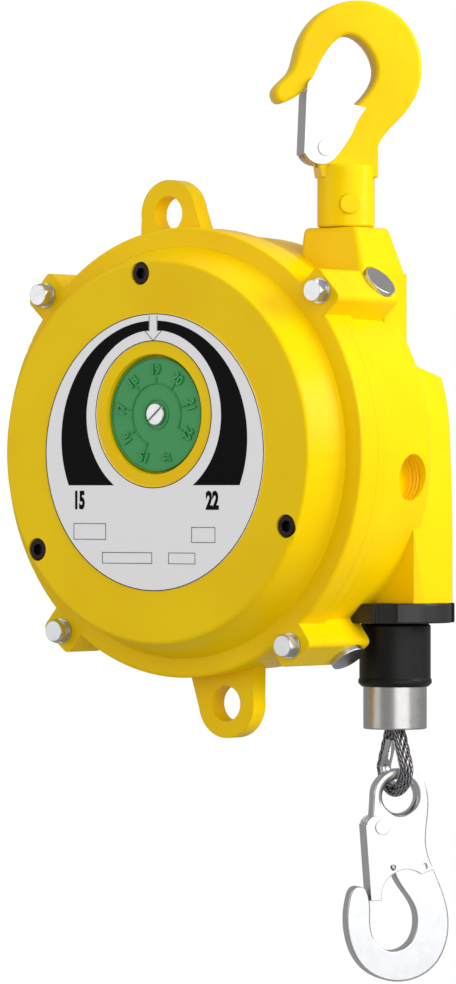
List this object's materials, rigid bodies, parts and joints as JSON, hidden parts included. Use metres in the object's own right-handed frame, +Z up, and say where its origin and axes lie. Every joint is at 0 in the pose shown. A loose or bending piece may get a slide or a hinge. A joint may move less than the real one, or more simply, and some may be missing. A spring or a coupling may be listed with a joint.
{
  "type": "tool balancer",
  "caption": "Hanging spring balancer for a hand tool: round yellow casing, load dial, swivel hook above, wire rope with buffer and snap hook below.",
  "frame": {"origin": "the point of the upper hook's inner curve that bears on the support, on the swivel axis", "axes": "+Z up along the swivel axis; the load dial and front cover face -Y; +X to the right of someone facing the dial; the rope hangs along -Z"},
  "size_m": [0.2148, 0.119, 0.4679],
  "materials": {
    "yellow_casting": "yellow powder coat, smooth gloss",
    "yellow_forging": "yellow paint over forged steel",
    "plate_white": "printed thin aluminium plate",
    "dial_green": "moulded green plastic, satin",
    "zinc_plate": "zinc plated, slightly warm",
    "black_steel": "black oxide",
    "bright_steel": "ground or turned bright steel",
    "polished_steel": "polished stainless plate",
    "spring_steel": "blued strip, oiled",
    "bronze": "turned bronze",
    "cast_alloy": "machined aluminium casting",
    "rope_steel": "galvanised wire rope, oiled",
    "black_rubber": "moulded rubber, satin",
    "black_nylon": "black nylon, satin"
  },
  "bodies": {
    "hook": {"upper_hook": "yellow_forging", "hook_stem": "bright_steel", "hook_cross_pin": "yellow_forging", "stem_nut": "zinc_plate", "latch_rivet": "zinc_plate", "latch_spring": "spring_steel"},
    "casing": {"main_housing": "yellow_casting", "front_cover": "yellow_casting", "name_plate": "plate_white", "cover_bolts": "zinc_plate", "cover_washers": "zinc_plate", "cover_spring_washers": "zinc_plate", "partition_plate": "cast_alloy", "partition_screws": "black_steel", "main_axle": "bright_steel", "axle_nut": "zinc_plate", "upper_plug": "zinc_plate", "lower_plug": "zinc_plate", "thrust_washer": "bronze", "swivel_bush": "bronze", "worm_bushes": "bronze", "bearing_inner_rings": "bright_steel", "pawl_pin": "bright_steel", "pawl_spring": "spring_steel", "rope_guide": "black_nylon", "guide_screws": "black_steel", "rope_lead": "rope_steel"},
    "drum_unit": {"drum": "cast_alloy", "spring_arbor": "cast_alloy", "rope_windings": "rope_steel", "rope_anchor": "rope_steel", "bearing_outer_rings": "bright_steel", "bearing_balls": "bright_steel", "ratchet_ring": "bright_steel", "ratchet_screws": "bright_steel"},
    "tension_unit": {"spring_holder": "cast_alloy", "worm_wheel": "bronze", "dial_pinion": "bright_steel", "mainspring": "spring_steel"},
    "worm_shaft": {"worm": "black_steel"},
    "dial_unit": {"load_dial": "dial_green", "dial_gear": "bright_steel", "dial_screw": "zinc_plate"},
    "load_end": {"rope_run": "rope_steel", "rubber_buffer": "black_rubber", "stop_sleeve": "bright_steel", "rope_ferrule": "bright_steel", "rope_eye": "rope_steel", "rope_thimble": "polished_steel"},
    "snap_body": {"snap_hook": "polished_steel", "gate_rivet": "polished_steel"},
    "gate_body": {"snap_gate": "polished_steel"},
    "latch_body": {"hook_latch": "zinc_plate"},
    "pawl_body": {"stop_pawl": "black_steel"}
  },
  "joints": [
    {"name": "casing_swivel", "type": "hinge", "parent": "hook", "child": "casing", "pos_m": [0, 0, -0.0916], "axis": [0, 0, 1], "continuous": true},
    {"name": "hook_latch_open", "type": "hinge", "parent": "hook", "child": "latch_body", "pos_m": [-0.00777, -0.00848, -0.0538], "axis": [-0.7373, 0.6756, 0], "range_deg": [0, 32], "stiffness_Nm_per_rad": 0.02, "springref_deg": -68.75},
    {"name": "rope_travel", "type": "slide", "parent": "casing", "child": "load_end", "axis": [0, 0, -1], "range_m": [0, 1.5], "stiffness_N_per_m": 10, "springref_m": -18.1, "deforming": ["rope_run"]},
    {"name": "drum_spin", "type": "hinge", "parent": "casing", "child": "drum_unit", "pos_m": [-0.062, 0.0005, -0.1986], "axis": [0, 1, 0], "range_deg": [0, 1096]},
    {"name": "tension_adjust", "type": "hinge", "parent": "casing", "child": "tension_unit", "pos_m": [-0.062, -0.0395, -0.1986], "axis": [0, 1, 0], "range_deg": [-250, 184]},
    {"name": "worm_turn", "type": "hinge", "parent": "casing", "child": "worm_shaft", "pos_m": [-0.062, -0.056, -0.2331], "axis": [1, 0, 0], "range_deg": [-9501, 6993]},
    {"name": "dial_turn", "type": "hinge", "parent": "casing", "child": "dial_unit", "pos_m": [-0.062, -0.0655, -0.1806], "axis": [0, 1, 0], "range_deg": [-118, 160]},
    {"name": "snap_hook_swing", "type": "hinge", "parent": "load_end", "child": "snap_body", "pos_m": [0.014, 0.0205, -0.3599], "axis": [0.788, -0.6157, 0], "range_deg": [-40, 40]},
    {"name": "snap_gate_open", "type": "hinge", "parent": "snap_body", "child": "gate_body", "pos_m": [0.00914, 0.01427, -0.3773], "axis": [0.788, -0.6157, 0], "range_deg": [0, 22], "stiffness_Nm_per_rad": 0.02, "springref_deg": -68.75},
    {"name": "stop_pawl_throw", "type": "hinge", "parent": "casing", "child": "pawl_body", "pos_m": [-0.09709, 0.0035, -0.15368], "axis": [0, -1, 0], "range_deg": [0, 8], "stiffness_Nm_per_rad": 0.01, "springref_deg": -57.3}
  ],
  "couplings": [
    {"joint": "drum_spin", "follows": "rope_travel", "rad_per_m": 12.739},
    {"joint": "worm_turn", "follows": "tension_adjust", "ratio": 38},
    {"joint": "dial_turn", "follows": "tension_adjust", "ratio": -0.63636}
  ]
}
